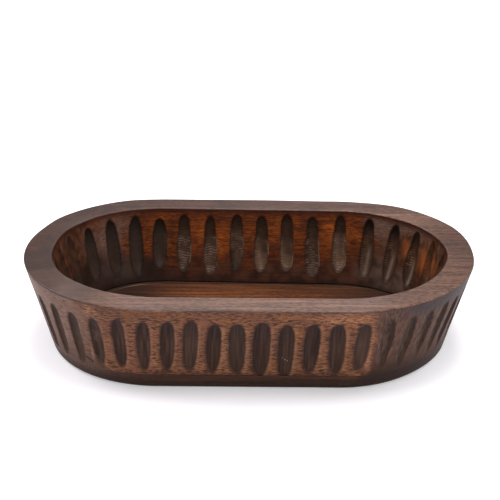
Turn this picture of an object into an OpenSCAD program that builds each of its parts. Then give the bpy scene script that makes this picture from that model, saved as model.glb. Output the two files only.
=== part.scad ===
// Long wooden bowl with gouged walls.
// A wall ring with straight sides and half-round ends is glued on a flat base board.
// Both walls of the ring carry a row of upright hollows cut with a round-nosed gouge.
// The length runs along X, the width along Y, and the origin is under the middle of the base.

/* [Bowl] */
// Length over the rim
bowl_l = 380; // [320:1:460]
// Width over the rim
bowl_w = 230; // [200:1:280]
// Height of the rim above the table
bowl_h = 81; // [74:0.5:96]
// Lean of the outside of the walls from upright, in degrees
outer_lean = 15.5; // [8:0.5:20]

/* [Wall ring] */
// Width of the flat rim
rim_w = 24; // [18:0.5:32]
// Lean of the inside of the walls from upright, in degrees
inner_lean = 13; // [8:0.5:18]
// Radius of the softened rim edges
rim_ease = 1.2; // [0.5:0.1:3]
// Bevel on the inner foot of the ring, which leaves a fine groove round the floor
groove_w = 0.8; // [0.3:0.1:2]

/* [Base board] */
// Thickness of the base board
board_t = 14; // [10:0.5:18]
// Radius of the rounded lower edge of the board
board_round = 6; // [2:0.5:8]
// Step by which the board stands out from the foot of the ring
board_step = 0.4; // [0.1:0.1:1.5]

/* [Outer gouge cuts] */
// Spacing of the outer cuts along the wall at half its height
outer_pitch = 19.2; // [16:0.1:26]
// Length of an outer cut, up the wall
outer_cut_l = 53; // [40:1:60]
// Width of an outer cut
outer_cut_w = 11.8; // [8:0.2:14]
// Depth of an outer cut
outer_cut_d = 2.4; // [1.2:0.1:3.5]
// Height of the middle of the outer cuts above the base board
outer_cut_z = 29.2; // [28:0.1:34]
// Lean of the tops of the outer cuts along the wall, from a right-handed stroke, in degrees
outer_cut_lean = 2; // [0:0.5:4]

/* [Inner gouge cuts] */
// Spacing of the inner cuts along the wall at half its height
inner_pitch = 23; // [20:0.1:32]
// Length of an inner cut, up the wall
inner_cut_l = 52; // [36:1:54]
// Width of an inner cut
inner_cut_w = 13; // [8:0.2:16]
// Depth of an inner cut
inner_cut_d = 2.5; // [1.2:0.1:3.5]
// Height of the middle of the inner cuts above the base board
inner_cut_z = 36; // [32:0.5:38]

/* [Hidden] */

// Curves are drawn with this many sides
$fn = 96;
// Length by which a cutter reaches past the wood that it cuts
overrun = 2;

// Place of the first cut from the middle of the front side, as a share of the pitch
outer_first_share = -0.455;
inner_first_share = 0.416;
// Wander of the hand-set spacing in waves round the bowl: each wave's size as a share of the
// pitch, its number round the bowl, and its start
outer_wander = [[0.176, 2, 70], [0.163, 4, 244]];
inner_wander = [[0.145, 2, 77], [0.041, 7, 118]];
// Swell of the cuts, which get wider, longer and lower in waves round the bowl: its size, its
// number round the bowl and its start, and the shares by which a full swell changes a cut
outer_swell = [1, 4, 47];
inner_swell = [0, 1, 0];
widening_share = 0.08;
growth_share = 0.03;
sink_share = 0.02;
// Unevenness of every cut in height and in length, as shares of its length
cut_rise_share = 0.02;
cut_growth_share = 0.03;
// Turn from one cut to the next in that unevenness, which never falls into step
uneven_turn = 137.5;

straight_l = bowl_l - bowl_w;
half_w = bowl_w / 2;
// The sharp corner of the rim, before it is softened, stands this far beyond the finished edge
rim_tip = rim_ease * (1 / tan((90 - outer_lean) / 2) - 1);

function clamp(x, low, high) = min(max(x, low), high);
function unit(v) = v / norm(v);

// Distance of the outer and inner wall faces from the middle line, at a height
function outer_face(z) = half_w + rim_tip - (bowl_h - z) * tan(outer_lean);
function inner_face(z) = half_w - rim_w - (bowl_h - z) * tan(inner_lean);

// Points that round the corner at b, on the way from a to c
function rounded(a, b, c, r, steps = 4) =
    let (
        u = unit(a - b),
        v = unit(c - b),
        half = acos(u * v) / 2,
        centre = b + unit(u + v) * r / sin(half),
        first = b + u * r / tan(half) - centre,
        last = b + v * r / tan(half) - centre
    )
    [for (i = [0:steps]) centre + r * unit(first * (steps - i) + last * i)];

// Outline of the bowl with ends of radius r: its length, and the way along it from the
// middle of the front side towards the right-hand end
function outline_l(r) = 2 * straight_l + 2 * PI * r;
function outline_turn(way, r) =
    180 * clamp((way - straight_l / 2) / (PI * r), 0, 1)
    + 180 * clamp((way - straight_l * 3 / 2) / (PI * r) - 1, 0, 1);
function outline_x(way, r) =
    clamp(way, 0, straight_l / 2)
    - clamp(way - straight_l / 2 - PI * r, 0, straight_l)
    + clamp(way - straight_l * 3 / 2 - 2 * PI * r, 0, straight_l / 2);

// Stands its children on the outline, with +X pointing out of the bowl
module on_outline(way, r) {
    along = (way % outline_l(r) + outline_l(r)) % outline_l(r);
    turn = outline_turn(along, r) - 90;
    translate([outline_x(along, r) + r * cos(turn), r * sin(turn), 0])
        rotate([0, 0, turn])
            children();
}

// Carries a profile round the bowl: its x is the distance from the middle line, its y the height
module round_the_bowl() {
    for (side = [0, 180]) rotate([0, 0, side]) {
        translate([straight_l / 2, 0, 0])
            rotate([0, 0, -90])
                rotate_extrude(angle = 180)
                    children();
        rotate([90, 0, 90])
            linear_extrude(height = straight_l, center = true)
                children();
    }
}

// Path of a round-nosed gouge that dips into a wall face at x = 0 and rises out of it again
module gouge_sweep(length, width, depth) {
    nose_r = (pow(width / 2, 2) + pow(depth, 2)) / (2 * depth);
    sweep_r = (pow(length / 2, 2) + pow(depth, 2)) / (2 * depth);
    reach = acos(1 - (depth + overrun) / sweep_r);
    translate([sweep_r - depth, 0, 0])
        rotate([90, 0, 0])
            rotate([0, 0, 180 - reach])
                rotate_extrude(angle = 2 * reach)
                    translate([sweep_r - nose_r, 0])
                        circle(r = nose_r);
}

// Value at cut i of count of a wave round the bowl, given as its size, its number and its start
function wave(w, i, count) = w[0] * sin(360 * w[1] * i / count + w[2]);

// One row of hand-set cuts. lean tips the gouge to the wall, tilt leans it along the wall, and
// facing is 1 outside and -1 inside.
module gouge_row(r, z, pitch, length, width, depth, lean, tilt, facing, first_share, wander, swell) {
    count = round(outline_l(r) / pitch);
    step = outline_l(r) / count;
    for (i = [0:count - 1]) {
        place = i + first_share + wave(wander[0], i, count) + wave(wander[1], i, count);
        size = wave(swell, i, count);
        rise = cut_rise_share * sin(uneven_turn * i) - sink_share * size;
        growth = growth_share * size - cut_growth_share * cos(uneven_turn * i);
        on_outline(place * step, r)
            translate([0, 0, z])
                rotate([0, lean, 0])
                    rotate([-tilt, 0, 0])
                        translate([0, 0, rise * length])
                            rotate([0, 0, facing > 0 ? 0 : 180])
                                gouge_sweep(length * (1 + growth), width * (1 + widening_share * size), depth);
    }
}

module wall_profile() {
    outer_foot = [outer_face(board_t), board_t];
    outer_rim = [outer_face(bowl_h), bowl_h];
    inner_rim = [inner_face(bowl_h), bowl_h];
    inner_foot = [inner_face(board_t), board_t];
    polygon(concat(
        [outer_foot],
        rounded(outer_foot, outer_rim, inner_rim, rim_ease),
        rounded(outer_rim, inner_rim, inner_foot, rim_ease),
        [inner_foot + groove_w * unit(inner_rim - inner_foot), inner_foot + [groove_w, 0]]
    ));
}

module board_profile() {
    top_edge = [outer_face(board_t) + board_step, board_t];
    low_edge = [outer_face(0) + board_step, 0];
    polygon(concat(
        [[0, board_t], top_edge],
        rounded(top_edge, low_edge, [0, 0], board_round, 6),
        [[0, 0]]
    ));
}

// Ring of walls, gouged outside and inside
module wall_ring() {
    outer_z = board_t + outer_cut_z;
    inner_z = board_t + inner_cut_z;
    color("#9a6236")
        difference() {
            round_the_bowl() wall_profile();
            gouge_row(outer_face(outer_z), outer_z, outer_pitch, outer_cut_l, outer_cut_w, outer_cut_d,
                outer_lean, outer_cut_lean, 1, outer_first_share, outer_wander, outer_swell);
            gouge_row(inner_face(inner_z), inner_z, inner_pitch, inner_cut_l, inner_cut_w, inner_cut_d,
                inner_lean, 0, -1, inner_first_share, inner_wander, inner_swell);
        }
}

// Flat board that closes the bowl and carries the ring
module base_board() {
    color("#5a3a24")
        round_the_bowl() board_profile();
}

wall_ring();
base_board();
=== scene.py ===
import math

import bmesh
import bpy
import numpy as np
from mathutils import Matrix, Vector


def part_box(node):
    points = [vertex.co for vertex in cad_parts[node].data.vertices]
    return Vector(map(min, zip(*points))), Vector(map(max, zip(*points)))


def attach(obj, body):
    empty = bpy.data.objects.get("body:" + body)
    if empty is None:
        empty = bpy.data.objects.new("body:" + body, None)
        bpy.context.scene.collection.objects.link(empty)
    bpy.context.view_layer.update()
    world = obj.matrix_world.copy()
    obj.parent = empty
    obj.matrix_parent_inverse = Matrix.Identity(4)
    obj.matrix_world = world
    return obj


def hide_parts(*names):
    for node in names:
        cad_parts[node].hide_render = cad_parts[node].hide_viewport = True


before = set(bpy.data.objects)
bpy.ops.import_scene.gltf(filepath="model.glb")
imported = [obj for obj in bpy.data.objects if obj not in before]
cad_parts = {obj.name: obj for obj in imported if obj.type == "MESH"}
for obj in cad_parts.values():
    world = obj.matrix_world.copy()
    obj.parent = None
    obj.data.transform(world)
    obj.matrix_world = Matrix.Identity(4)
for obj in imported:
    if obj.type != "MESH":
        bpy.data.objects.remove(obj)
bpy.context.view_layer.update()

# The wall ring: the walls and the flat rim of the bowl, in mango wood whose grain runs along the bowl. Both
# walls are hollowed with upright strokes of a round-nosed gouge, then stained, and waxed to a satin sheen.
# The ring is glued on the base board.
MM = 0.001
ring_low, ring_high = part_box("wall_ring")
SEAM_Z = ring_low.z
RIM_Z = ring_high.z
HALF_WIDTH = ring_high.y
STRAIGHT = 150 * MM
RIM_WIDTH = 24 * MM
RIM_EASE = 1.2 * MM
OUTER_LEAN = math.radians(15.5)
INNER_LEAN = math.radians(13)
GROOVE = 0.8 * MM
RIM_TIP = RIM_EASE * (1 / math.tan((math.pi / 2 - OUTER_LEAN) / 2) - 1)
RING_COLUMNS = 1500
WALL_STEP = 0.7 * MM
EASE_ROWS = 6
RIM_ROWS = 18


def outer_face(z):
    """Distance of the outer wall face from the middle line of the bowl."""
    return HALF_WIDTH + RIM_TIP - (RIM_Z - z) * math.tan(OUTER_LEAN)


def inner_face(z):
    """Distance of the inner wall face from the middle line of the bowl."""
    return HALF_WIDTH - RIM_WIDTH - (RIM_Z - z) * math.tan(INNER_LEAN)


def outline_length(radius):
    """Length of the outline whose half-round ends have this radius."""
    return 2 * STRAIGHT + 2 * math.pi * radius


class Outline:
    """Places round the bowl, each a way along the outline from the middle of the front, to the right first.

    share is that way as a share of the whole, straight its part on the straight sides, turn its part round
    the ends as an angle, and rail the X from which that angle is taken. off_side is the angle off the
    straight sides in degrees, 90 at both tips, and right is true at the right-hand end.
    """

    def __init__(self, ways, radius):
        half = STRAIGHT / 2
        arc = math.pi * radius
        ways = np.mod(ways, outline_length(radius))
        front = np.clip(ways, 0, half)
        back = np.clip(ways - half - arc, 0, STRAIGHT)
        last = np.clip(ways - 3 * half - 2 * arc, 0, half)
        self.share = ways / outline_length(radius)
        self.straight = front + back + last
        self.turn = (ways - self.straight) / radius
        self.rail = front - back + last
        self.off_side = np.degrees(np.arcsin(np.abs(np.sin(self.turn))))
        self.right = np.sin(self.turn) > 0


def smooth(x, low, high):
    """Goes from 0 at low to 1 at high, without a corner."""
    t = np.clip((x - low) / (high - low), 0, 1)
    return t * t * (3 - 2 * t)


CHANCES = 64


def patches(share, height, around, seed):
    """Smooth random values from -1 to 1: around of them round the bowl, one for each whole step of height."""
    table = np.random.default_rng(seed).uniform(-1, 1, (around, CHANCES))
    x, y = np.broadcast_arrays(share * around, height)
    ix, iy = np.floor(x).astype(int), np.floor(y).astype(int)
    fx, fy = smooth(x - ix, 0, 1), smooth(y - iy, 0, 1)
    ix, low, high = (ix % around, (ix + 1) % around), iy % CHANCES, (iy + 1) % CHANCES
    near, far = (table[i, low] * (1 - fy) + table[i, high] * fy for i in ix)
    return near * (1 - fx) + far * fx


def chances(steps, height, seed):
    """Smooth random values from -1 to 1, one for each whole step and each whole step of height."""
    return patches(steps / CHANCES, height, CHANCES, seed)


def grid_piece(name, points, closed_rows):
    """Mesh of a grid of points whose columns run right round. closed_rows joins the last row to the first."""
    rows, columns = points.shape[:2]
    mesh = bpy.data.meshes.new(name)
    index = np.arange(rows * columns).reshape(rows, columns)
    low = index if closed_rows else index[:-1]
    high = np.roll(index, -1, 0) if closed_rows else index[1:]
    faces = np.stack([low, np.roll(low, -1, 1), np.roll(high, -1, 1), high], -1).reshape(-1, 4)
    mesh.vertices.add(rows * columns)
    mesh.vertices.foreach_set("co", points.astype(np.float32).ravel())
    mesh.loops.add(faces.size)
    mesh.loops.foreach_set("vertex_index", faces.ravel())
    mesh.polygons.add(len(faces))
    mesh.polygons.foreach_set("loop_start", np.arange(0, faces.size, 4))
    mesh.polygons.foreach_set("use_smooth", np.ones(len(faces), bool))
    mesh.update(calc_edges=True)
    piece = bpy.data.objects.new(name, mesh)
    bpy.context.scene.collection.objects.link(piece)
    return piece


def paint(piece, name, values):
    """Keeps one number for each point of the mesh, for the material to read."""
    layer = piece.data.attributes.new(name, "FLOAT", "POINT")
    layer.data.foreach_set("value", np.asarray(values, np.float32).ravel())


OUTSIDE, RIM, INSIDE, FOOT = range(4)


def eased_edge(middle, first, last):
    """Rows of a rounded rim edge about its middle, between two angles from level."""
    angles = [first + (last - first) * i / EASE_ROWS for i in range(1, EASE_ROWS)]
    return [(middle + RIM_EASE * math.cos(a), RIM_Z + RIM_EASE * (math.sin(a) - 1), RIM) for a in angles]


def ring_profile():
    """Rows of the wall's section: radius, height, and the face that the row is on."""
    rows = []
    wall_rows = round((RIM_Z - SEAM_Z) / math.cos(OUTER_LEAN) / WALL_STEP)
    top = RIM_Z - RIM_EASE * (1 + math.sin(OUTER_LEAN))
    for i in range(wall_rows + 1):
        z = SEAM_Z + (top - SEAM_Z) * i / wall_rows
        rows.append((outer_face(z), z, OUTSIDE))
    outer_middle = outer_face(RIM_Z) - RIM_EASE / math.tan((math.pi / 2 - OUTER_LEAN) / 2)
    inner_middle = inner_face(RIM_Z) + RIM_EASE / math.tan((math.pi / 2 + INNER_LEAN) / 2)
    rows += eased_edge(outer_middle, -OUTER_LEAN, math.pi / 2)
    for i in range(RIM_ROWS):
        rows.append((outer_middle + (inner_middle - outer_middle) * i / (RIM_ROWS - 1), RIM_Z, RIM))
    rows += eased_edge(inner_middle, math.pi / 2, math.pi - INNER_LEAN)
    top = RIM_Z - RIM_EASE * (1 - math.sin(INNER_LEAN))
    low = SEAM_Z + GROOVE
    for i in range(wall_rows + 1):
        z = top - (top - low) * i / wall_rows
        rows.append((inner_face(z), z, INSIDE))
    rows.append((inner_face(SEAM_Z) + GROOVE, SEAM_Z, FOOT))
    return np.array(rows)


def wave(waves, i, count):
    """Sum of waves round the bowl at cut i, each wave given as its size, its number and its start."""
    turn = 2 * math.pi * i / count
    return sum(size * math.sin(number * turn + math.radians(start)) for size, number, start in waves)


# Shares by which a full swell changes a cut's width, length and height, and by which the cuts are uneven in
# height and length. The unevenness turns by this angle from cut to cut, so it never falls into step.
SWELL_WIDTH = 0.11
SWELL_LENGTH = 0.11
SWELL_SINK = 0.07
UNEVEN_HEIGHT = 0.02
UNEVEN_LENGTH = 0.03
UNEVEN_TURN = math.radians(137.5)
# What is left to chance in each cut
CHANCE_WIDTH = 0.05
CHANCE_DEPTH = 0.10
CHANCE_END = 0.2
CHANCE_TILT = math.radians(1.5)
# Ragged sides of the cuts, and the length of a tear in them
JAG = 0.2 * MM
JAG_LENGTH = 2 * MM


def cut_row(outline, radius, height, cuts):
    """Depth of a row of gouge cuts at each point of a wall, and where in which cut each point lies."""
    depth = np.full(radius.shape, -1.0)
    along, across, which = (np.zeros(radius.shape) for _ in range(3))
    length = outline_length(radius)
    way = outline.straight + radius * outline.turn
    row_length = outline_length(cuts["radius"])
    count = round(row_length / cuts["pitch"])
    for i in range(count):
        chance = np.random.default_rng(cuts["seed"] + i)
        swell = wave(cuts["swell"], i, count)
        wide = cuts["width"] * (1 + SWELL_WIDTH * swell + CHANCE_WIDTH * chance.uniform(-1, 1))
        place = (i + cuts["first"] + wave(cuts["wander"], i, count)) * row_length / count
        spot = Outline(np.array(place), cuts["radius"])
        reach = cuts["reach"] * chance.uniform(-1, 1)
        middle, spread, lift, growth = cuts["local"]
        local = float(smooth(abs(place - middle * row_length), spread, 0.7 * spread))
        top, foot = (shift * MM for shift in cuts["own"].get(i, (0, 0)))
        long = cuts["length"] * (1 + SWELL_LENGTH * max(swell, 0) - UNEVEN_LENGTH * math.cos(UNEVEN_TURN * i))
        long = long + reach + local * growth + top - foot
        rise = cuts["length"] * (UNEVEN_HEIGHT * math.sin(UNEVEN_TURN * i) - SWELL_SINK * max(swell, 0))
        rise = rise + local * lift + (reach + top + foot) / 2
        deep = cuts["depth"] * (1 + CHANCE_DEPTH * chance.uniform(-1, 1))
        nose = (wide / 2) ** 2 / (2 * deep)
        up = (height - cuts["height"]) / math.cos(cuts["lean"]) - rise
        tilt = cuts["tilt"] + CHANCE_TILT * chance.uniform(-1, 1)
        a = way - (spot.straight + radius * spot.turn)
        a = np.mod(a + length / 2, length) - length / 2
        a = a - math.tan(tilt) * up - cuts["aside"] * chance.uniform(-1, 1)
        b = up / (long / 2)
        blunt = np.where(b > 0, cuts["blunt_top"], cuts["blunt_foot"])
        blunt = blunt * (1 + CHANCE_END * chance.uniform(-1, 1))
        jag = JAG * chances(up / JAG_LENGTH + 0.37 * CHANCES * i, np.sign(a) + 3.0, cuts["seed"] + 90)
        here = deep * (1 - np.abs(b) ** blunt) * (1 - cuts["taper"] * b) ** 2
        here = here - (np.abs(a) + jag) ** 2 / (2 * nose)
        better = here > depth
        for kept, new in ((depth, here), (along, b), (across, a), (which, np.full(radius.shape, float(i)))):
            kept[better] = new[better]
    return depth, along, across, which


profile = ring_profile()
mid_radius = outer_face((SEAM_Z + RIM_Z) / 2)
outline = Outline(np.arange(RING_COLUMNS) / RING_COLUMNS * outline_length(mid_radius), mid_radius)
share = outline.share
radius, height, face = (np.repeat(profile[:, i:i + 1], RING_COLUMNS, 1) for i in range(3))
outside, inside = face == OUTSIDE, face == INSIDE

# The local values are a place in the row as a share of its way round, the reach to both sides of it, and the
# lift and growth of the cuts there. The own values are the millimetres by which the top and the foot of a
# single cut stand higher than in its row.
OUTER_CUTS = {
    "radius": outer_face(43.2 * MM), "height": 43.7 * MM, "lean": OUTER_LEAN, "tilt": math.radians(2.2),
    "pitch": 19.2 * MM, "first": -0.455, "wander": ((0.176, 2, 70), (0.163, 4, 244)), "swell": ((1, 4, 47),),
    "length": 53.5 * MM, "width": 12.1 * MM, "depth": 2.4 * MM, "aside": 0.0, "reach": 0.6 * MM,
    "blunt_top": 4.8, "blunt_foot": 2.15, "taper": 0.0, "seed": 100,
    "local": (0.83, 45 * MM, -5 * MM, 0.0),
    "own": {2: (0, -1), 4: (-1.5, 0), 42: (3, 0), 47: (1.3, -1)},
}
# Each inner hollow is two strokes: a narrow one of the whole length, and a wide one that chattered lower down
INNER_CUTS = {
    "radius": inner_face(50 * MM), "height": 50.2 * MM, "lean": INNER_LEAN, "tilt": 0.0,
    "pitch": 23 * MM, "first": 0.416, "wander": ((0.145, 2, 77), (0.041, 7, 118)), "swell": ((0, 1, 0),),
    "length": 51 * MM, "width": 11.0 * MM, "depth": 2.1 * MM, "aside": 0.0, "reach": 1.0 * MM,
    "blunt_top": 5.5, "blunt_foot": 3.0, "taper": 0.08, "seed": 300,
    "local": (0.5, 0.001 * MM, 0.0, 0.0),
    "own": {10: (2, 0), 12: (1, 0), 13: (2, 0), 16: (2.5, 0), 18: (1.7, 0), 19: (-2.6, 0), 20: (0.6, 0),
            21: (-4, 2), 22: (-1.2, -4), 23: (0, 1), 24: (-2, 2)},
}
LOWER_STROKES = {
    **INNER_CUTS, "height": 43.6 * MM, "length": 39 * MM, "width": 13.2 * MM, "depth": 2.4 * MM,
    "aside": 0.7 * MM, "reach": 6 * MM, "blunt_top": 3.6, "blunt_foot": 3.0, "taper": 0.04, "seed": 500,
    "local": (0.66, 90 * MM, 4 * MM, 9 * MM),
    "own": {12: (0, -1.5), 13: (2, -2.5), 15: (3, -3), 18: (4, 2.5), 19: (4, -4), 21: (0, 2), 22: (0, -4)},
}
out_depth, out_along, out_across, out_which = cut_row(outline, radius, height, OUTER_CUTS)
in_depth, in_along, in_across, in_which = cut_row(outline, radius, height, INNER_CUTS)
low_depth = cut_row(outline, radius, height, LOWER_STROKES)[0]
lower = smooth(low_depth - in_depth, -0.5 * MM, 0.5 * MM) * inside
in_depth = np.maximum(in_depth, low_depth)
field = np.where(outside, out_depth, np.where(inside, in_depth, -1.0))
cut = smooth(field, np.where(outside, -0.35, -0.2) * MM, np.where(outside, 0.75, 0.4) * MM)

# Places on the walls in millimetres, to the right: from the middle of the front and from that of the back
length = outline_length(radius)
way = outline.straight + radius * outline.turn
front = (np.mod(way + length / 2, length) - length / 2) / MM
back = (length / 2 - np.mod(way, length)) / MM
up = height / MM
left_in = smooth(-back, 55, 130) * inside
right_in = smooth(back, 92, 112) * inside

# A nick in the gouge's edge leaves upright scratches in the outer cuts. In the inner ones the gouge
# chattered, and left uneven ripples, fewer of them towards both ends of the bowl; their crests are painted
# lighter as highlights, and painted glints lie at their ends.
NICK_WIDTH = 1.0 * MM
SCRATCH_DEPTH = 0.1 * MM
RIPPLE_PITCH = 2.2 * MM
RIPPLE_DEPTH = 0.16 * MM
scratch = chances(out_across / NICK_WIDTH + out_which * 17, out_along * 1.6 + out_which * 3, 7)
bow = 0.007 * chances(in_which, 0.0, 25)
ripple_phase = (height - SEAM_Z) / RIPPLE_PITCH + (in_across / MM) ** 2 * bow + in_which * 0.37
ripple_phase = ripple_phase + 0.25 * patches(share, height / (5 * MM), 330, 8)
ripple_phase = ripple_phase + 0.4 * patches(share, height / (15 * MM), 90, 26)
ripple = (0.5 + 0.5 * np.sin(2 * math.pi * ripple_phase)) ** 1.4
chatter = smooth(patches(share, height / (3 * MM), 330, 9), -0.8, 0.7) * (0.3 + 0.7 * lower)
chatter = chatter * (1 - 0.8 * smooth(left_in, 0.0, 0.3))
right_side_up = smooth(in_across, -1.5 * MM, 1 * MM) * smooth(in_along, -0.6, -0.2)
chatter = chatter * (1 - 0.9 * right_in * (1 - right_side_up))
chatter = chatter * (0.85 + 0.15 * chances(in_which, 0.0, 23))
dent = np.where(outside, SCRATCH_DEPTH * scratch, np.where(inside, RIPPLE_DEPTH * ripple * chatter, 0)) * cut
glint = chatter * ripple ** 3 * (0.35 + 0.65 * smooth(np.abs(in_across), 2 * MM, 5 * MM)) * lower

# Where the hand-made bowl bulges out of its drawn outline, or in: by how many millimetres, and the angles
# round the ends at which the bulge begins, is full, fades and ends. Past 180 degrees is the left end.
EDGE_BULGES = ((3.3, 88, 120, 142, 168), (2.2, 184, 200, 232, 248))
MOUTH_BULGES = ((1.8, 66, 96, 128, 146), (0.8, 182, 204, 240, 266), (-1.3, 300, 322, 348, 360))
BACK_EDGE_IN = 1.8
BACK_MOUTH_OUT = 0.4
BACK_MOUTH_LEFT = 1.6
RIGHT_FOOT_IN = 2.2


def bulge(turn, places):
    """Sum of bulges at an angle round the ends, in millimetres."""
    return sum(size * smooth(turn, begin, full) * smooth(turn, end, fade)
               for size, begin, full, fade, end in places)


def hand_shape(turn, rail, above, out):
    """How far the bowl stands out of its drawn outline, at its outer edge where out is 1, and at its mouth
    where out is 0. above is the height on the wall, from 0 at its foot to 1 at the rim."""
    turn = np.degrees(turn)
    left = -rail / (STRAIGHT / 2)
    foot = np.sin(np.clip((turn - 5) / 80, 0, 1) * math.pi) ** 2 * (1 - above)
    edge = bulge(turn, EDGE_BULGES) - RIGHT_FOOT_IN * foot
    edge = edge - smooth(left, -0.1, -1) * bulge(turn, ((BACK_EDGE_IN, 150, 178, 182, 200),))
    back_out = BACK_MOUTH_OUT + BACK_MOUTH_LEFT * left
    mouth = bulge(turn, MOUTH_BULGES) + bulge(turn, ((back_out, 148, 176, 240, 266),))
    return MM * (edge * out + mouth * (1 - out))


# The walls were smoothed by hand, so they wave a little, always to the inside of the sawn size
LONG_WAVES = 0.3 * MM
SHORT_WAVES = 0.1 * MM
above = (height - SEAM_Z) / (RIM_Z - SEAM_Z)
wander = LONG_WAVES * (1 + patches(share, height / (30 * MM), 26, 10)) / 2
wander = wander + SHORT_WAVES * (1 + patches(share, height / (7 * MM), 120, 11)) / 2
wander = wander * smooth(above, 0, 0.1)
lean = np.where(outside, math.cos(OUTER_LEAN), math.cos(INNER_LEAN))
rim_share = np.clip((radius - inner_face(RIM_Z)) / RIM_WIDTH, 0, 1)
into_wood = np.where(outside, -1.0, np.where(face == RIM, 1 - 2 * rim_share, 1.0))
push = ((np.maximum(field, 0) + dent) / lean + wander) * into_wood
outer_share = np.where(outside, 1.0, np.where(face == RIM, rim_share, 0.0))
push = push + hand_shape(outline.turn, outline.rail, above, outer_share)
points = np.empty(radius.shape + (3,))
points[..., 0] = outline.rail + (radius + push) * np.sin(outline.turn)
points[..., 1] = -(radius + push) * np.cos(outline.turn)
points[..., 2] = height
wall_ring = grid_piece("gouged_wall_ring", points, True)


def spots(along, places):
    """Soft-edged spots of stain, each given as its place, height, half-width, half-height and strength."""
    return sum(strength * np.exp(-((along - x) / wide) ** 2 - ((up - z) / tall) ** 2)
               for x, z, wide, tall, strength in places)


def left_share(outline):
    """Share of the left-hand end's quieter colour."""
    return np.where(outline.right, 0.0, smooth(outline.off_side, 12, 40))


def foot_end_share(outline):
    """Share of the ends' colour at the foot, against that of the straight sides."""
    return smooth(outline.off_side, np.where(outline.right, 6, -5), np.where(outline.right, 14, 8))


def foot_shade(up, outline):
    """Share of the darkening at the foot of both ends, softer towards the tips: stain gathered there, and
    painted shade near the floor.
    """
    tip = smooth(outline.off_side, 25, 60)
    return np.where(outline.right, smooth(up, 27 - 7 * tip, 11 - 9 * tip), smooth(up, 20, 3))


# The half-round ends show end grain, which drank more stain: sharply bounded on the right, slowly on the left
off_side = outline.off_side
right = outline.right
ragged = patches(share, height / (5 * MM), 240, 12) + patches(share, height / (16 * MM), 60, 13)
begin = np.where(right, 12.5, 20.0)
end_grain = smooth(off_side + np.where(right, 0.8, 4) * ragged, begin, begin + np.where(right, 2.5, 14))
left_end = left_share(outline)
paint(wall_ring, "end_grain", end_grain)
paint(wall_ring, "left_end", np.where(inside, left_in, left_end))
paint(wall_ring, "end_top", smooth(above, 0.70, 0.90) * smooth(off_side, 14, 36) * right)

# The stain took more orange in some places and stayed mauve grey in others. On the rim the same number holds
# painted light: the far rim and its tips are darker, a painted shade, and the front of the rim is paler on
# both sides, a painted sheen.
warm_outside = spots(front, (
    (-125, 73, 5, 6, 1.0), (-114, 77, 5, 5, -0.9), (-96, 74, 14, 6, -0.8), (-97, 58, 5, 18, -0.35),
    (-82, 70, 16, 8, -0.9), (-54.5, 45, 7, 24, -1.0), (-36, 45, 7, 24, -0.4), (1, 45, 7, 24, -0.8),
    (20.5, 45, 7, 24, -0.8), (42, 45, 8, 24, -0.4), (79, 45, 7, 24, -0.4), (68, 74, 30, 7, 0.9),
    (94.5, 45, 3, 30, 0.9), (96, 25, 3.5, 8, 1.0), (10, 28, 85, 11, 0.35), (-20, 78, 50, 4, -0.4)))
warm_inside = spots(back, (
    (-36, 56, 22, 13, 1.1), (24, 62, 30, 14, 0.2), (79, 62, 16, 14, 1.1), (-78, 58, 8, 16, 0.4),
    (-130, 62, 21, 24, -1.0), (118, 70, 12, 12, -0.9), (124, 28, 30, 15, -1.1), (-118, 28, 24, 13, -0.9),
    (150, 73, 34, 6, -0.8), (-92, 58, 6, 18, 0.3), (146, 56, 6, 12, 0.6), (172, 48, 8, 14, 0.7),
    (186, 60, 5, 14, 0.6)))
rim_painted_shade = smooth(off_side, 35, 78) * np.where(right, 0.55, 1.0)
back_rim_painted_shade = smooth(np.abs(front), np.where(front > 0, 300, 230), np.where(front > 0, 400, 330))
back_rim_painted_shade = back_rim_painted_shade * (0.74 - 0.18 * outline.rail / (STRAIGHT / 2))
rim_painted_shade = np.clip(np.maximum(rim_painted_shade, back_rim_painted_shade), 0, 1)
rim_painted_sheen = smooth(np.abs(front), 45, 80) * smooth(np.abs(front), 125, 95)
stain_tone_and_rim_light = np.where(outside, warm_outside, np.where(face == RIM, rim_painted_sheen - rim_painted_shade, warm_inside))
stain_tone_and_rim_light = stain_tone_and_rim_light + np.where(face == RIM, 0.15, 0.3) * patches(share, height / (14 * MM), 70, 14)
paint(wall_ring, "stain_tone_and_rim_light", stain_tone_and_rim_light)
paint(wall_ring, "above", above)

# Darker low on the inside, and on the outside along the foot: stain gathered there, with painted shade near
# the floor
low = above + 0.05 * patches(share, height / (5 * MM), 150, 15)
low = low + 0.10 * patches(share, height / (14 * MM), 40, 16) - 0.2 * smooth(off_side, 5, 40)
paint(wall_ring, "low_stain_and_shade", smooth(low, 0.46, 0.14))
end_foot = foot_end_share(outline) * foot_shade(up + 1.5 * ragged, outline)
side_foot = 0.7 * smooth(above, 0.014, 0.004) + 0.4 * smooth(up + 2 * ragged, 21, 15)
side_foot = np.clip(side_foot, 0, 0.7) * smooth(off_side, 10, 0)
dark_foot = np.maximum(end_foot, side_foot) * outside
# A short crack by the foot of a cut, on the left of the front: its begin and its run, in millimetres
CRACK_X = -135.6
CRACK_Z = 22.9
CRACK_RUN = 8.1
CRACK_FALL = 3.8
crack_share = (front - CRACK_X) * CRACK_RUN - (up - CRACK_Z) * CRACK_FALL
crack_share = np.clip(crack_share / (CRACK_RUN ** 2 + CRACK_FALL ** 2), 0, 1)
crack = np.hypot(front - CRACK_X - CRACK_RUN * crack_share, up - CRACK_Z + CRACK_FALL * crack_share)
crack = smooth(crack + 0.35 * ragged, 1.5, 0.5) * outside
paint(wall_ring, "dark_foot", np.maximum(dark_foot, crack))

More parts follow.
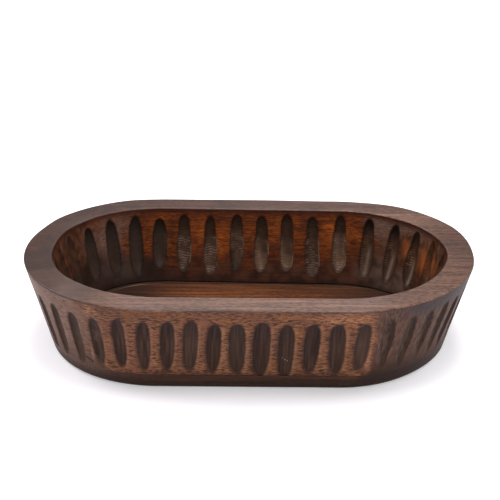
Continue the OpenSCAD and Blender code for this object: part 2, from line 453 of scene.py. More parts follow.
# The hollows at the far ends inside took the same mottled stain as the wood round them
far_in = np.maximum(smooth(-back, 150, 160), smooth(back, 150, 178)) * inside
paint(wall_ring, "mottled", np.maximum(smooth(-back, 140, 154), smooth(back, 108, 135)) * inside)
paint(wall_ring, "cut", cut * (1 - 0.5 * far_in))
paint(wall_ring, "cut_edge", cut * smooth(field, 1.2 * MM, 0.3 * MM))
paint(wall_ring, "halo", smooth(field, -0.6 * MM, 0.0) * (1 - cut) * (1 - far_in))
paint(wall_ring, "along", np.where(outside, out_along, in_along))
paint(wall_ring, "scratch", scratch)
paint(wall_ring, "lower", lower)
paint(wall_ring, "ripple", ripple * chatter * inside)
paint(wall_ring, "glint", glint * inside)
HALF_CUT = 6 * MM
paint(wall_ring, "left_side", in_across / HALF_CUT)
# Painted shade in the outer hollows at the ends: on their right side at the right-hand end, on their left
# side at the left-hand end
paint(wall_ring, "painted_shade_side", np.where(right, out_across / HALF_CUT, -out_across / HALF_CUT - 0.3))
# Some hollows were rubbed paler than others
tone_outside = spots(front, (
    (89, 45, 7, 24, 0.9), (49, 45, 7, 24, -0.8), (-49, 45, 7, 24, 0.7), (-11, 45, 7, 24, 0.6)))
tone_inside = spots(back, (
    (34, 38, 9, 18, 1.1), (11, 38, 9, 16, 0.9), (82, 44, 9, 22, 0.9), (57, 40, 9, 40, -0.8),
    (-59, 40, 9, 30, -0.3), (107, 40, 9, 30, 0.2)))
paint(wall_ring, "tone", np.where(outside, tone_outside, tone_inside))

# Pale lines along the burrs of the cuts, painted highlights, here and there outside, and inside on the right
# of chattered cuts
side = 2 * out_which + (out_across > 0)
burr_highlight = smooth(out_depth, -0.7 * MM, -0.2 * MM) * (1 - cut) * smooth(np.abs(out_along), 0.8, 0.6)
end_burr_highlight = end_grain * (out_across < 0) * (0.6 + 0.4 * chances(side, height / (7 * MM), 24))
burr_highlight = burr_highlight * np.maximum(smooth(chances(side, height / (9 * MM), 21), 0.1, 0.9), end_burr_highlight)
burr_highlight = np.maximum(burr_highlight, spots(front, ((-127.0, 32, 1.0, 9, 1.2),)) * (1 - cut))
in_burr_highlight = smooth(in_depth, -0.2 * MM, 0.1 * MM) * smooth(in_depth, 0.7 * MM, 0.3 * MM) * (in_across < 0)
in_burr_highlight = in_burr_highlight * smooth(chances(in_which, height / (9 * MM), 22), -0.5, 0.3)
in_burr_highlight = in_burr_highlight * smooth(up, 27, 32) * smooth(up, 60, 50) * (1 - smooth(left_in, 0.0, 0.3)) * (1 - right_in)
paint(wall_ring, "burr_highlight", np.where(outside, burr_highlight, in_burr_highlight * inside))
# On the right a strip down the lower end of each inner hollow is paler, and its top is nearly black, a
# painted shade
STRIP_WIDTH = 1.6 * MM
STRIP_SLANT = 1.8 * MM
pale = np.exp(-((in_across + STRIP_SLANT * (in_along + 1.2)) / STRIP_WIDTH) ** 2)
paint(wall_ring, "pale", pale * smooth(in_along, 0.15, -0.35) * right_in * cut)
paint(wall_ring, "painted_shade_top", smooth(in_along, 0.3, 0.8) * right_in)
paint(wall_ring, "right_end", right_in)
# Painted shade on the left of each outer hollow, in it and on the wood beside it, and a painted highlight on
# the wood to the right of it
beside = smooth(np.abs(out_along), 1.02, 0.8) * (1 - cut)
shaded = cut * smooth(-out_across, 2.5 * MM, 6 * MM) + beside * smooth(out_depth, -2.5 * MM, 0.2 * MM)
paint(wall_ring, "shaded", shaded * (out_across < 0) * (1 - 0.7 * end_grain) * outside)
lit = beside * smooth(out_depth, -3.2 * MM, -0.6 * MM) * (out_across > 0) * (1 - end_grain)
paint(wall_ring, "lit", lit * outside)
# At both tips the outer hollows are nearly black, and on the right the ridges between them carry painted
# highlights
tips = smooth(off_side, np.where(right, 52, 62), np.where(right, 72, 82)) * outside
paint(wall_ring, "tips", tips)
ridge_highlight = (1 - cut) * smooth(out_depth, -2.4 * MM, -0.6 * MM) * smooth(np.abs(out_along), 0.95, 0.7)
ridge_highlight = ridge_highlight * tips * right
paint(wall_ring, "ridge_highlight", ridge_highlight * (0.7 + 0.3 * chances(side, height / (9 * MM), 28)))

# Specks of hard wax caught in the wood, and darkening along the edges of the rim: partly stain gathered
# there, partly painted shade at the rounded edges
specks = spots(front, (
    (29.5, 30, 0.5, 0.6, 1.0), (31.5, 29, 0.5, 0.5, 1.0), (27.5, 32, 0.5, 0.6, 0.7),
    (105, 75, 0.7, 0.5, 0.5), (118, 74, 0.7, 0.5, 0.7), (122, 65, 0.6, 0.8, 0.35)))
paint(wall_ring, "specks", specks * outside)
back_rim = smooth(outline.turn, 1.8, 2.3) * smooth(outline.turn, 4.6, 4.1)
rim_edge_stain_and_shade = 0.6 * smooth(rim_share, 0.955, 0.985) * np.maximum(back_rim, left_end)
outer_edge_stain_and_shade = 0.4 + 0.4 * smooth(front, 10, 60) + 0.2 * smooth(-front, 115, 150)
edge_stain_and_shade = np.where(outside, outer_edge_stain_and_shade, 0.75 - 0.6 * left_in + 0.25 * right_in)
edge_stain_and_shade = edge_stain_and_shade * smooth(height, RIM_Z - 2.4 * MM, RIM_Z - 1.2 * MM)
paint(wall_ring, "edge_stain_and_shade", np.where(face == RIM, rim_edge_stain_and_shade, edge_stain_and_shade))


def srgb(colour):
    """Turns an sRGB hex colour into the linear values that a shader socket takes."""
    parts = [int(colour[i:i + 2], 16) / 255 for i in (1, 3, 5)]
    return tuple(c / 12.92 if c <= 0.04045 else ((c + 0.055) / 1.055) ** 2.4 for c in parts) + (1.0,)


def add(tree, kind, links, out=0, **settings):
    """Adds a shader node with its settings and its inputs, which are values or other nodes' outputs."""
    made = tree.nodes.new(kind)
    for key, value in settings.items():
        setattr(made, key, value)
    for key, value in links.items():
        if isinstance(value, bpy.types.NodeSocket):
            tree.links.new(value, made.inputs[key])
        else:
            made.inputs[key].default_value = value
    return made.outputs[out]


def layer(tree, body, colour, amount, low=0.0, high=1.0, most=1.0):
    """Lays a stain over a wood colour, where amount goes from low to high, at most so strong.

    Both colours are sRGB hex values or outputs, and amount is an output or the name of a painted number.
    """
    if isinstance(amount, str):
        amount = add(tree, "ShaderNodeAttribute", {}, "Fac", attribute_name=amount)
    body, colour = (srgb(c) if isinstance(c, str) else c for c in (body, colour))
    share = add(tree, "ShaderNodeMapRange", {0: amount, 1: low, 2: high, 3: 0.0, 4: most})
    return add(tree, "ShaderNodeMix", {0: share, 6: body, 7: colour}, 2, data_type="RGBA")


def pattern(tree, place, size, detail, out="Fac", rough=0.5, start=(0.0, 0.0, 0.0)):
    """Uneven pattern from 0 to 1 whose lumps have one size in millimetres, or one for each of X, Y and Z."""
    sizes = size if isinstance(size, tuple) else (size, size, size)
    scale = tuple(1 / (MM * length) for length in sizes)
    spread = add(tree, "ShaderNodeVectorMath", {0: place, 1: scale, 2: start}, operation="MULTIPLY_ADD")
    settings = {"Vector": spread, "Scale": 1.0, "Detail": detail, "Roughness": rough}
    return add(tree, "ShaderNodeTexNoise", settings, out)


# Mango wood, in millimetres. Its fibres and bands are drawn in their real size, and its pores, 0.2 wide in
# the wood, are drawn as wide as they need to show.
FIBRE = (4.5, 0.9)
BAND = (18.0, 2.4)
PORE = (2.6, 0.8)
SWAY = 9
SWAY_LENGTH = 62.5
CURL_LENGTH = 6.667


def mango_grain(tree, curl, flat):
    """Figure of mango wood: its fibres, its growth bands and its pores, each a pattern from 0 to 1.

    They run along X where the face is flat, and level round the walls. curl is how far the interlocked grain
    waves to and fro, in millimetres. The place comes first in what is returned.
    """
    place = add(tree, "ShaderNodeTexCoord", {}, "Object")
    sway = pattern(tree, place, SWAY_LENGTH, 2.0, "Color")
    curled = pattern(tree, place, CURL_LENGTH, 1.0, "Color")
    moved = place
    for bend, size in ((sway, SWAY * MM), (curled, 2 * curl * MM)):
        off = add(tree, "ShaderNodeVectorMath", {0: bend, 1: (0.5, 0.5, 0.5)}, operation="SUBTRACT")
        off = add(tree, "ShaderNodeVectorMath", {0: off, 1: (0.0, size, size)}, operation="MULTIPLY")
        moved = add(tree, "ShaderNodeVectorMath", {0: moved, 1: off}, operation="ADD")
    figure = [place]
    for (long, wide), detail in ((FIBRE, 3.0), (BAND, 3.0), (PORE, 1.0)):
        size = (long, wide if flat else long, wide)
        figure.append(pattern(tree, moved, size, detail, start=(wide, 7 * wide, long)))
    return figure


def wax_finish(material, body, fibre, pore, rough, depth, sheen):
    """Ends a wood material with a satin wax finish, as glossy as sheen, over fibres that stand so deep."""
    tree = material.node_tree
    relief = add(tree, "ShaderNodeMath", {0: fibre, 1: pore}, operation="SUBTRACT")
    bump = add(tree, "ShaderNodeBump", {"Height": relief, "Strength": 0.7, "Distance": depth})
    shader = tree.nodes["Principled BSDF"]
    shader.inputs["IOR"].default_value = 1.5
    shader.inputs["Specular IOR Level"].default_value = sheen
    tree.links.new(body, shader.inputs["Base Color"])
    tree.links.new(rough, shader.inputs["Roughness"])
    tree.links.new(bump, shader.inputs["Normal"])
    return material


def new_material(name):
    """New material with a plain Principled shader, and its node tree."""
    material = bpy.data.materials.new(name)
    material.use_nodes = True
    return material, material.node_tree


def side_grain(tree, fibre, band, pore, blotch):
    """Wood of the straight sides outside: orange brown with mauve patches, and short dark pore dashes."""
    body = layer(tree, "#3a2116", "#85583f", fibre, 0.425, 0.575)
    body = layer(tree, body, "#8a5a36", band, 0.48, 0.72, 0.55)
    body = layer(tree, body, "#4b2e23", band, 0.5, 0.3, 0.45)
    bright = layer(tree, "#573524", "#b07d5a", fibre, 0.42, 0.58)
    body = layer(tree, body, bright, "stain_tone_and_rim_light", 0.0, 1.0, 0.85)
    mauve = layer(tree, "#3b241a", "#704a39", fibre, 0.42, 0.58)
    body = layer(tree, body, mauve, "stain_tone_and_rim_light", 0.0, -1.0, 0.9)
    body = layer(tree, body, "#774a3b", blotch, 0.52, 0.68, 0.45)
    body = layer(tree, body, "#885631", blotch, 0.46, 0.32, 0.4)
    body = layer(tree, body, "#2e1a11", pore, 0.56, 0.70, 0.6)
    # Painted highlight on the wood to the right of each hollow
    body = layer(tree, body, "#a8785a", "lit", 0.0, 1.0, 0.2)
    return layer(tree, body, "#5d4035", "above", 0.86, 1.0, 0.35)


def end_grain_outside(tree, fibre, blotch, tear):
    """End grain of the half-round ends, which drank the stain: grey brown, and quieter at the left."""
    end = layer(tree, "#3f2a21", "#63483b", tear, 0.38, 0.64)
    end = layer(tree, end, "#5b382c", blotch, 0.5, 0.66, 0.5)
    # Darker low on the ends: stain with painted shade near the floor
    end = layer(tree, end, "#45291f", "above", 0.42, 0.12, 0.7)
    end = layer(tree, end, "#393032", "end_top", 0.0, 1.0, 0.85)
    left = layer(tree, "#563e34", "#7e5f50", fibre, 0.34, 0.66)
    left = layer(tree, left, "#866555", blotch, 0.5, 0.66, 0.5)
    # Darker low on the ends: stain with painted shade near the floor
    left = layer(tree, left, "#4d372e", "above", 0.35, 0.12, 0.5)
    return layer(tree, end, left, "left_end")


def outer_hollows(tree, tear):
    """Torn fibres in the outer gouge cuts, which drank the stain and look nearly black."""
    torn = layer(tree, "#2b1b15", "#4a352b", "scratch", -0.8, 1.0)
    torn = layer(tree, torn, "#1d1311", "cut_edge", 0.0, 1.0, 0.6)
    torn = layer(tree, torn, "#5b453b", "tone", 0.0, 1.0, 0.35)
    torn = layer(tree, torn, "#150d0a", "tone", 0.0, -1.0, 0.35)
    ends = layer(tree, "#33241d", "#634e41", tear, 0.38, 0.64)
    ends = layer(tree, ends, "#46332a", "left_end", 0.0, 1.0, 0.75)
    # Painted shade on one side of each hollow
    ends = layer(tree, ends, "#2c1c16", "painted_shade_side", -0.15, 0.5, 0.8)
    ends = layer(tree, ends, "#1c110d", "tips", 0.0, 1.0, 0.75)
    torn = layer(tree, torn, ends, "end_grain", 0.0, 1.0, 0.9)
    # Darker and bluer towards the top of each hollow: painted shade under its upper end
    return layer(tree, torn, "#1b1519", "along", 0.1, 1.0, 0.55)


def stained_mango_outside():
    """Mango wood, stained walnut brown and waxed: an orange-brown figure, with nearly black gouge cuts."""
    material, tree = new_material("stained_mango_wood_outside")
    place, fibre, band, pore = mango_grain(tree, 0.45, False)
    blotch = pattern(tree, place, 22.22, 3.0)
    tear = pattern(tree, place, (1.786, 1.786, 41.67), 3.0, rough=0.6)
    body = side_grain(tree, fibre, band, pore, blotch)
    body = layer(tree, body, end_grain_outside(tree, fibre, blotch, tear), "end_grain")
    # Painted highlights along the burrs
    body = layer(tree, body, "#a2816c", "burr_highlight", 0.0, 1.0, 0.5)
    body = layer(tree, body, "#35201a", "halo", 0.0, 1.0, 0.35)
    # Painted highlights on the ridges at the right tip
    body = layer(tree, body, "#93827b", "ridge_highlight", 0.0, 1.0, 0.7)
    body = layer(tree, body, outer_hollows(tree, tear), "cut")
    # Painted shade on the left of each hollow
    body = layer(tree, body, "#1e1310", "shaded", 0.0, 1.0, 0.6)
    body = layer(tree, body, "#c4b6ae", "specks", 0.2, 1.0, 0.8)
    # Darker at the foot: stain with painted shade near the floor
    body = layer(tree, body, "#291a15", "dark_foot", 0.0, 1.0, 0.9)
    # Darker just under the rim: stain with painted shade
    body = layer(tree, body, "#2a1812", "edge_stain_and_shade", 0.0, 1.0, 0.7)
    in_cut = add(tree, "ShaderNodeAttribute", {}, "Fac", attribute_name="cut")
    rough = add(tree, "ShaderNodeMapRange", {0: fibre, 1: 0.3, 2: 0.7, 3: 0.62, 4: 0.5})
    rough = add(tree, "ShaderNodeMath", {0: in_cut, 1: 0.15, 2: rough}, operation="MULTIPLY_ADD")
    return wax_finish(material, body, fibre, pore, rough, 0.12 * MM, 0.13)


def stained_mango_rim():
    """The same wood on the planed rim: long straight streaks under a greyish satin sheen."""
    material, tree = new_material("stained_mango_wood_rim")
    place, fibre, _, pore = mango_grain(tree, 0.25, True)
    streak = pattern(tree, place, (83.33, 3.03, 3.03), 4.0)
    blotch = pattern(tree, place, 22.22, 3.0)
    patch = pattern(tree, place, 50.0, 2.0)
    body = layer(tree, "#41281e", "#705040", fibre, 0.41, 0.59)
    body = layer(tree, body, "#815c49", streak, 0.5, 0.7, 0.75)
    body = layer(tree, body, "#3a221a", streak, 0.5, 0.32, 0.7)
    body = layer(tree, body, "#2d1912", pore, 0.58, 0.74, 0.5)
    quiet = layer(tree, "#3d2c27", "#55423c", blotch, 0.4, 0.62)
    quiet = layer(tree, quiet, "#322523", patch, 0.5, 0.66, 0.6)
    body = layer(tree, body, quiet, "left_end", 0.0, 1.0, 0.85)
    # Painted sheen at the front of the rim on both sides
    body = layer(tree, body, "#7d6663", "stain_tone_and_rim_light", 0.2, 1.0, 0.12)
    dark = layer(tree, "#26110a", "#492819", fibre, 0.4, 0.6)
    dark = layer(tree, dark, "#57362a", streak, 0.54, 0.66, 0.5)
    dark = layer(tree, dark, "#241510", blotch, 0.43, 0.58, 0.75)
    # Painted shade on the far rim and its tips
    body = layer(tree, body, dark, "stain_tone_and_rim_light", 0.0, -0.95, 0.95)
    # Darker along the rim's inner edge at the back and the left end: stain with painted shade
    body = layer(tree, body, "#2b1c17", "edge_stain_and_shade")
    rough = add(tree, "ShaderNodeMapRange", {0: fibre, 1: 0.3, 2: 0.7, 3: 0.42, 4: 0.34})
    return wax_finish(material, body, fibre, pore, rough, 0.06 * MM, 0.32)


def inner_wood(tree, fibre, band, pore, streak, blotch):
    """Wood of the inside under thick wax: deep orange brown, brighter in patches."""
    body = layer(tree, "#3b180a", "#703512", fibre, 0.31, 0.69)
    body = layer(tree, body, "#864610", band, 0.52, 0.75, 0.6)
    body = layer(tree, body, "#2a1007", streak, 0.48, 0.34, 0.7)
    bright = layer(tree, "#5d2b0e", "#b35b1c", fibre, 0.32, 0.70)
    bright = layer(tree, bright, "#481c0b", streak, 0.48, 0.34, 0.6)
    body = layer(tree, body, bright, "stain_tone_and_rim_light", 0.1, 1.1, 0.95)
    body = layer(tree, body, "#220e06", pore, 0.57, 0.72, 0.2)
    return layer(tree, body, "#2b160c", blotch, 0.5, 0.68, 0.5)


def mottled_stain(tree, lumpy, blotch):
    """Stain of the far ends inside, in lumps of dark and orange brown."""
    lumps = layer(tree, "#2a1910", "#5a3a26", lumpy, 0.36, 0.62)
    lumps = layer(tree, lumps, "#2c1a12", blotch, 0.46, 0.62, 0.6)
    return layer(tree, lumps, "#a25626", "stain_tone_and_rim_light", 0.1, 0.9, 0.8)


def gathered_stain_and_shade(tree, streak, blotch):
    """Stain that gathered low on the inside, with painted shade there: dark brown, and grey brown in the
    corners.
    """
    low = layer(tree, "#2a1710", "#4b2a1b", blotch, 0.36, 0.64)
    low = layer(tree, low, "#25130c", streak, 0.5, 0.34, 0.4)
    low = layer(tree, low, "#211713", "left_end", 0.0, 0.25, 0.8)
    corner = layer(tree, "#33251f", "#584339", blotch, 0.36, 0.62)
    corner = layer(tree, corner, "#2b2120", "left_end", 0.1, 0.5, 0.65)
    return layer(tree, low, corner, "stain_tone_and_rim_light", -0.1, -0.8, 0.9)


def inner_hollows(tree, fibre, lumps):
    """Chattered wood in the inner gouge cuts: grey-brown ripples under dark tops, warmer at the right end."""
    # Ripple crests painted lighter: painted highlights
    torn = layer(tree, "#2e1f17", "#54413a", "ripple")
    wide = layer(tree, "#49352b", "#705443", "tone")
    wide = layer(tree, wide, "#937b6b", "ripple", 0.1, 1.0, 0.72)
    wide = layer(tree, wide, "#2c1e17", "tone", 0.0, -1.0, 0.6)
    torn = layer(tree, torn, wide, "lower")
    # Darker towards the top of each hollow: painted shade under its upper end
    torn = layer(tree, torn, "#1e1410", "along", 0.35, 0.85, 0.65)
    # Darker on the left of each hollow: painted shade
    torn = layer(tree, torn, "#251711", "left_side", 0.3, 1.0, 0.4)
    torn = layer(tree, torn, "#4a3220", fibre, 0.4, 0.7, 0.35)
    shade = layer(tree, "#2b211c", "#181a1a", "along", -0.2, 0.9)
    torn = layer(tree, torn, shade, "left_end", 0.0, 0.3, 0.7)
    # Ripple crests painted lighter: painted highlights
    corner = layer(tree, "#35241c", "#8d5f3f", "ripple", 0.05, 0.4)
    # Darker on the left of each hollow: painted shade
    corner = layer(tree, corner, "#1e140f", "left_side", 0.0, 0.7, 0.7)
    corner = layer(tree, corner, lumps, fibre, 0.4, 0.6, 0.5)
    # Darker towards the top of each hollow: painted shade under its upper end
    corner = layer(tree, corner, "#120c09", "along", 0.45, 0.9, 0.8)
    torn = layer(tree, torn, corner, "right_end", 0.0, 1.0, 0.7)
    # Nearly black tops of the hollows at the right end: painted shade
    torn = layer(tree, torn, "#100b09", "painted_shade_top", 0.0, 1.0, 0.75)
    torn = layer(tree, torn, "#6e5b4f", "pale", 0.0, 1.0, 0.85)
    # Painted glints on the ripples
    torn = layer(tree, torn, "#7b685c", "glint", 0.0, 0.9, 0.7)
    return layer(tree, torn, "#1a100c", "cut_edge", 0.1, 1.0, 0.7)


def stained_mango_inside():
    """The same wood inside, under thick wax: orange brown, darker low down with painted shade, and grey in
    the corners.
    """
    material, tree = new_material("stained_mango_wood_inside")
    place, fibre, band, pore = mango_grain(tree, 0.3, False)
    streak = pattern(tree, place, (45.45, 45.45, 1.923), 3.0)
    blotch = pattern(tree, place, 11.11, 2.0)
    lumpy = pattern(tree, place, (4.348, 4.348, 8.333), 2.0)
    body = inner_wood(tree, fibre, band, pore, streak, blotch)
    lumps = mottled_stain(tree, lumpy, blotch)
    body = layer(tree, body, lumps, "mottled", 0.0, 1.0, 0.8)
    grey = layer(tree, "#4a342c", "#6d5347", fibre, 0.32, 0.68)
    body = layer(tree, body, grey, "stain_tone_and_rim_light", -0.1, -0.9, 0.9)
    # Darker low on the inside: stain with painted shade
    body = layer(tree, body, gathered_stain_and_shade(tree, streak, blotch), "low_stain_and_shade", 0.0, 1.0, 0.95)
    body = layer(tree, body, "#32140a", "above", 0.90, 0.97, 0.8)
    # Darker at the very foot of the inner wall: painted shade in the corner with the floor
    body = layer(tree, body, "#1e1411", "above", 0.10, 0.02, 0.6)
    body = layer(tree, body, "#1d0e08", "halo", 0.0, 1.0, 0.6)
    body = layer(tree, body, inner_hollows(tree, fibre, lumps), "cut")
    # Painted highlights along the burrs
    body = layer(tree, body, "#8c7262", "burr_highlight", 0.0, 1.0, 0.5)
    # Darker just under the rim: stain with painted shade
    body = layer(tree, body, "#1e0d07", "edge_stain_and_shade", 0.0, 1.0, 0.7)
    in_cut = add(tree, "ShaderNodeAttribute", {}, "Fac", attribute_name="cut")
    rough = add(tree, "ShaderNodeMapRange", {0: in_cut, 1: 0.0, 2: 1.0, 3: 0.55, 4: 0.38})
    return wax_finish(material, body, fibre, pore, rough, 0.12 * MM, 0.1)


for finish in (stained_mango_outside, stained_mango_rim, stained_mango_inside):
    wall_ring.data.materials.append(finish())
row_slot = np.minimum(profile[:, 2].astype(np.int32), INSIDE)
wall_ring.data.polygons.foreach_set("material_index", np.repeat(row_slot, RING_COLUMNS))
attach(wall_ring, "root")
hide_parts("wall_ring")

# The base board: the flat mango board that closes the bowl and carries the ring, glued under it.
# Its planed and waxed top is the floor of the bowl. Its edge stands a hair proud of the ring, is rounded over
# below, and was stained almost black; it is painted darker still towards the floor as shade, and has a
# painted highlight along its top arris.
BOARD_ROUND = 6 * MM
BOARD_STEP = 0.4 * MM
# The upper arris is taken off by this much on top and on the edge
ARRIS_TOP = 0.2 * MM
ARRIS_EDGE = 0.3 * MM
BOARD_COLUMNS = 720
FLOOR_ROWS = 30
LEDGE_ROWS = 4
EDGE_ROWS = 10
# The floor's rows lie closer for this far from the wall, where the wax line is
FINE_WIDTH = 6 * MM
FINE_ROWS = 12
TOP, EDGE, UNDER = range(3)


def board_profile():
    """Rows of the board's section: radius, height, and the face that the row is on."""
    wall_foot = inner_face(SEAM_Z)
    arris = outer_face(SEAM_Z) + BOARD_STEP
    ledge = arris - ARRIS_TOP - wall_foot
    rows = [((wall_foot - FINE_WIDTH) * i / FLOOR_ROWS, SEAM_Z, TOP) for i in range(FLOOR_ROWS + 1)]
    rows += [(wall_foot - FINE_WIDTH * (1 - i / FINE_ROWS), SEAM_Z, TOP) for i in range(1, FINE_ROWS + 1)]
    rows += [(wall_foot + ledge * i / LEDGE_ROWS, SEAM_Z, TOP) for i in range(1, LEDGE_ROWS + 1)]
    rows.append((arris - ARRIS_TOP / 5, SEAM_Z - ARRIS_EDGE / 3, EDGE))
    middle = outer_face(0) + BOARD_STEP - BOARD_ROUND / math.tan((math.pi / 2 + OUTER_LEAN) / 2)
    high = SEAM_Z - ARRIS_EDGE
    low = BOARD_ROUND * (1 - math.sin(OUTER_LEAN))
    for i in range(EDGE_ROWS + 1):
        z = high + (low - high) * i / EDGE_ROWS
        rows.append((outer_face(z) + BOARD_STEP, z, EDGE))
    for i in range(1, EDGE_ROWS + 1):
        angle = -OUTER_LEAN - (math.pi / 2 - OUTER_LEAN) * i / EDGE_ROWS
        rows.append((middle + BOARD_ROUND * math.cos(angle), BOARD_ROUND * (1 + math.sin(angle)), EDGE))
    flat = rows[-1][0]
    rows += [(flat * (1 - i / EDGE_ROWS), 0.0, UNDER) for i in range(1, EDGE_ROWS + 1)]
    return np.array(rows)


board_rows = board_profile()
board_length = outline_length(outer_face(0))
board_outline = Outline(np.arange(BOARD_COLUMNS) / BOARD_COLUMNS * board_length, outer_face(0))
radius, height, face = (np.repeat(board_rows[:, i:i + 1], BOARD_COLUMNS, 1) for i in range(3))
step_fade = BOARD_STEP * smooth(board_outline.off_side, 0, 15)
moved = hand_shape(board_outline.turn, board_outline.rail, 0, 1) - step_fade
moved = radius + moved * np.clip(radius / inner_face(SEAM_Z), 0, 1)
points = np.empty(radius.shape + (3,))
points[..., 0] = board_outline.rail + moved * np.sin(board_outline.turn)
points[..., 1] = -moved * np.cos(board_outline.turn)
points[..., 2] = height
base_board = grid_piece("waxed_base_board", points, False)
paint(base_board, "edge", radius > inner_face(SEAM_Z) + MM)
on_floor = (face == TOP) & (radius < inner_face(SEAM_Z) + MM)
paint(base_board, "from_wall", np.where(on_floor, (inner_face(SEAM_Z) - radius) / MM, 99.0))
paint(base_board, "up_edge", height / SEAM_Z)
paint(base_board, "end_grain", np.broadcast_to(foot_end_share(board_outline), radius.shape))
paint(base_board, "left_end", np.broadcast_to(left_share(board_outline), radius.shape))
paint(base_board, "foot_shade", foot_shade(height / MM, board_outline))
# The floor is lightest a little right of its middle, and painted darker towards both ends as shade. A thin
# line of wax lies along its groove, thickest in one place at the left. All in millimetres.
LIGHT_X = 4
WAX_X = -102
WAX_HALF_LENGTH = 11
floor_x = points[..., 0] / MM
paint(base_board, "off_middle", np.abs(floor_x - LIGHT_X))
wax_line = 0.12 + 0.12 * patches(board_outline.share, 0.0, 60, 31)
paint(base_board, "wax_line", wax_line + 0.6 * np.exp(-((floor_x - WAX_X) / WAX_HALF_LENGTH) ** 2))
welded = bmesh.new()
welded.from_mesh(base_board.data)
bmesh.ops.remove_doubles(welded, verts=welded.verts, dist=0.001 * MM)
bmesh.ops.recalc_face_normals(welded, faces=welded.faces)
welded.to_mesh(base_board.data)
welded.free()


def waxed_mango_board():
    """Mango board, stained and waxed: straight lengthwise grain on its top, nearly black on its sawn edge."""
    material, tree = new_material("waxed_mango_board")
    place, fibre, band, pore = mango_grain(tree, 0.3, True)
    streak = pattern(tree, place, (62.5, 3.846, 3.846), 3.0)
    body = layer(tree, "#3e1f12", "#61371e", fibre, 0.40, 0.60)
    body = layer(tree, body, "#734527", streak, 0.5, 0.68, 0.8)
    body = layer(tree, body, "#381f13", streak, 0.48, 0.33, 0.7)
    body = layer(tree, body, "#2a1810", pore, 0.56, 0.7, 0.4)
    dark = layer(tree, "#19120f", "#2d1f19", streak, 0.35, 0.65)
    # Darker towards both ends of the floor: painted shade
    body = layer(tree, body, dark, "off_middle", 55.0, 118.0, 0.95)
    # Darker near the wall: stain with painted shade
    body = layer(tree, body, "#361f14", "from_wall", 22.0, 4.0, 0.5)
    wax = layer(tree, body, "#977c6b", "wax_line", 0.0, 1.0, 0.8)
    body = layer(tree, body, wax, "from_wall", 2.8, 2.4)
    body = layer(tree, body, "#140c09", "from_wall", 2.2, 1.2, 0.9)
    edge = layer(tree, "#27170f", "#4a3122", streak, 0.35, 0.65)
    edge = layer(tree, edge, "#593720", band, 0.55, 0.7, 0.5)
    # Darker towards the foot of the edge: painted shade near the floor
    below = layer(tree, "#0e0807", "#30231d", fibre, 0.42, 0.58)
    edge = layer(tree, edge, below, "up_edge", 0.75, 0.2, 0.9)
    # Painted highlight along the top arris of the edge
    edge = layer(tree, edge, "#6e4d3a", "up_edge", 0.985, 0.999, 0.6)
    end = layer(tree, "#382219", "#54382c", fibre, 0.34, 0.66)
    left = layer(tree, "#563e34", "#7e5f50", fibre, 0.34, 0.66)
    end = layer(tree, end, left, "left_end")
    # Darker at the foot of the ends: stain with painted shade near the floor
    end = layer(tree, end, "#291a15", "foot_shade", 0.0, 1.0, 0.9)
    edge = layer(tree, edge, end, "end_grain")
    body = layer(tree, body, edge, "edge")
    rough = add(tree, "ShaderNodeMapRange", {0: fibre, 1: 0.3, 2: 0.7, 3: 0.6, 4: 0.5})
    return wax_finish(material, body, fibre, pore, rough, 0.06 * MM, 0.13)


base_board.data.materials.append(waxed_mango_board())
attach(base_board, "root")
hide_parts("base_board")

# The stand for the picture: a plain white floor, which shows the bowl's soft shadow.
FLOOR_HALF = 4.0
FLOOR_GLOW = 0.31
corners = [(-FLOOR_HALF, -FLOOR_HALF, 0), (FLOOR_HALF, -FLOOR_HALF, 0), (FLOOR_HALF, FLOOR_HALF, 0),
           (-FLOOR_HALF, FLOOR_HALF, 0)]
floor_mesh = bpy.data.meshes.new("floor")
floor_mesh.from_pydata(corners, [], [(0, 1, 2, 3)])
floor = bpy.data.objects.new("floor", floor_mesh)
bpy.context.scene.collection.objects.link(floor)
floor_paint, tree = new_material("matte_white_floor")
tree.nodes.remove(tree.nodes["Principled BSDF"])
camera_ray = add(tree, "ShaderNodeLightPath", {}, "Is Camera Ray")
glossy_ray = add(tree, "ShaderNodeLightPath", {}, "Is Glossy Ray")
clear_ray = add(tree, "ShaderNodeLightPath", {}, "Is Transmission Ray")
seen = add(tree, "ShaderNodeMath", {0: camera_ray, 1: glossy_ray}, operation="MAXIMUM")
seen = add(tree, "ShaderNodeMath", {0: seen, 1: clear_ray}, operation="MAXIMUM")
glow = add(tree, "ShaderNodeMath", {0: seen, 1: FLOOR_GLOW}, operation="MULTIPLY")
matte = add(tree, "ShaderNodeBsdfDiffuse", {"Color": srgb("#ece9ee")})
glow = add(tree, "ShaderNodeEmission", {"Color": (1, 1, 1, 1), "Strength": glow})
both = add(tree, "ShaderNodeAddShader", {0: matte, 1: glow})
tree.links.new(both, tree.nodes["Material Output"].inputs["Surface"])
floor_mesh.materials.append(floor_paint)

# Soft studio light: an even pale room, a large softbox above the bowl, and weaker ones in front, behind and
# at the sides.
world = bpy.data.worlds.new("pale_room")
bpy.context.scene.world = world
world.use_nodes = True
world.node_tree.nodes["Background"].inputs["Color"].default_value = srgb("#fdfbfc")
world.node_tree.nodes["Background"].inputs["Strength"].default_value = 0.38


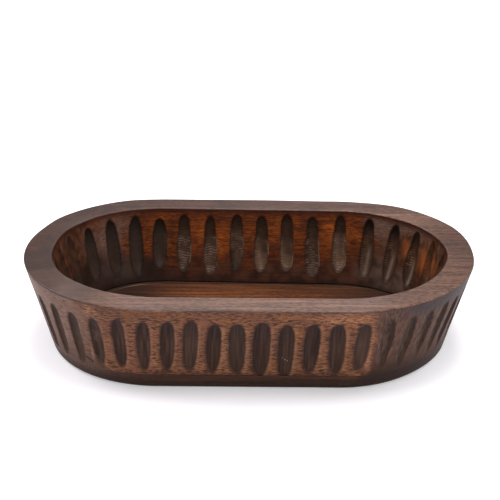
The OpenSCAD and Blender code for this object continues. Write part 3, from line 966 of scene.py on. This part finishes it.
def softbox(name, place, size, power):
    """Large soft lamp at a place, turned to the bowl."""
    lamp = bpy.data.lights.new(name, "AREA")
    lamp.shape = "RECTANGLE"
    lamp.size, lamp.size_y = size
    lamp.energy = power
    stand = bpy.data.objects.new(name, lamp)
    stand.location = place
    stand.rotation_euler = (Vector((0, 0, 0.05)) - Vector(place)).to_track_quat("-Z", "Y").to_euler()
    bpy.context.scene.collection.objects.link(stand)


softbox("softbox_back", (0.0, 0.95, 0.8), (0.5, 0.3), 1.5)
softbox("softbox_top", (0.1, 0.0, 1.5), (0.9, 0.7), 19)
softbox("softbox_front", (0.1, -1.6, 1.0), (1.2, 0.8), 10)
softbox("softbox_left", (-1.1, 0.4, 1.0), (0.8, 0.6), 10.5)
softbox("softbox_right", (1.1, 0.4, 1.0), (0.8, 0.6), 6)

# The camera stands in front and a little above, level to less than half a degree.
CAMERA_FAR = 1.2025
CAMERA_RISE = 0.4822
CAMERA_PITCH = 0.42045
CAMERA_PAN = 0.00085
CAMERA_ROLL = 0.00662
BOWL_YAW = -0.00498
FOCAL_PIXELS = 1377.67
PICTURE_SIDE = 500
camera_data = bpy.data.cameras.new("camera")
camera_data.sensor_width = 36
camera_data.lens = FOCAL_PIXELS / PICTURE_SIDE * camera_data.sensor_width
camera = bpy.data.objects.new("camera", camera_data)
bpy.context.scene.collection.objects.link(camera)
ahead = Vector((math.sin(CAMERA_PAN) * math.cos(CAMERA_PITCH), math.cos(CAMERA_PAN) * math.cos(CAMERA_PITCH),
                -math.sin(CAMERA_PITCH)))
level = Vector((math.cos(CAMERA_PAN), -math.sin(CAMERA_PAN), 0))
upward = level.cross(ahead)
side = level * math.cos(CAMERA_ROLL) + upward * math.sin(CAMERA_ROLL)
upward = upward * math.cos(CAMERA_ROLL) - level * math.sin(CAMERA_ROLL)
turned = Matrix((side, upward, -ahead)).transposed().to_4x4()
spot = Vector((0, -CAMERA_FAR * math.cos(CAMERA_RISE), CAMERA_FAR * math.sin(CAMERA_RISE)))
camera.matrix_world = Matrix.Rotation(-BOWL_YAW, 4, "Z") @ Matrix.Translation(spot) @ turned
bpy.context.scene.camera = camera
bpy.context.scene.view_settings.view_transform = "Standard"
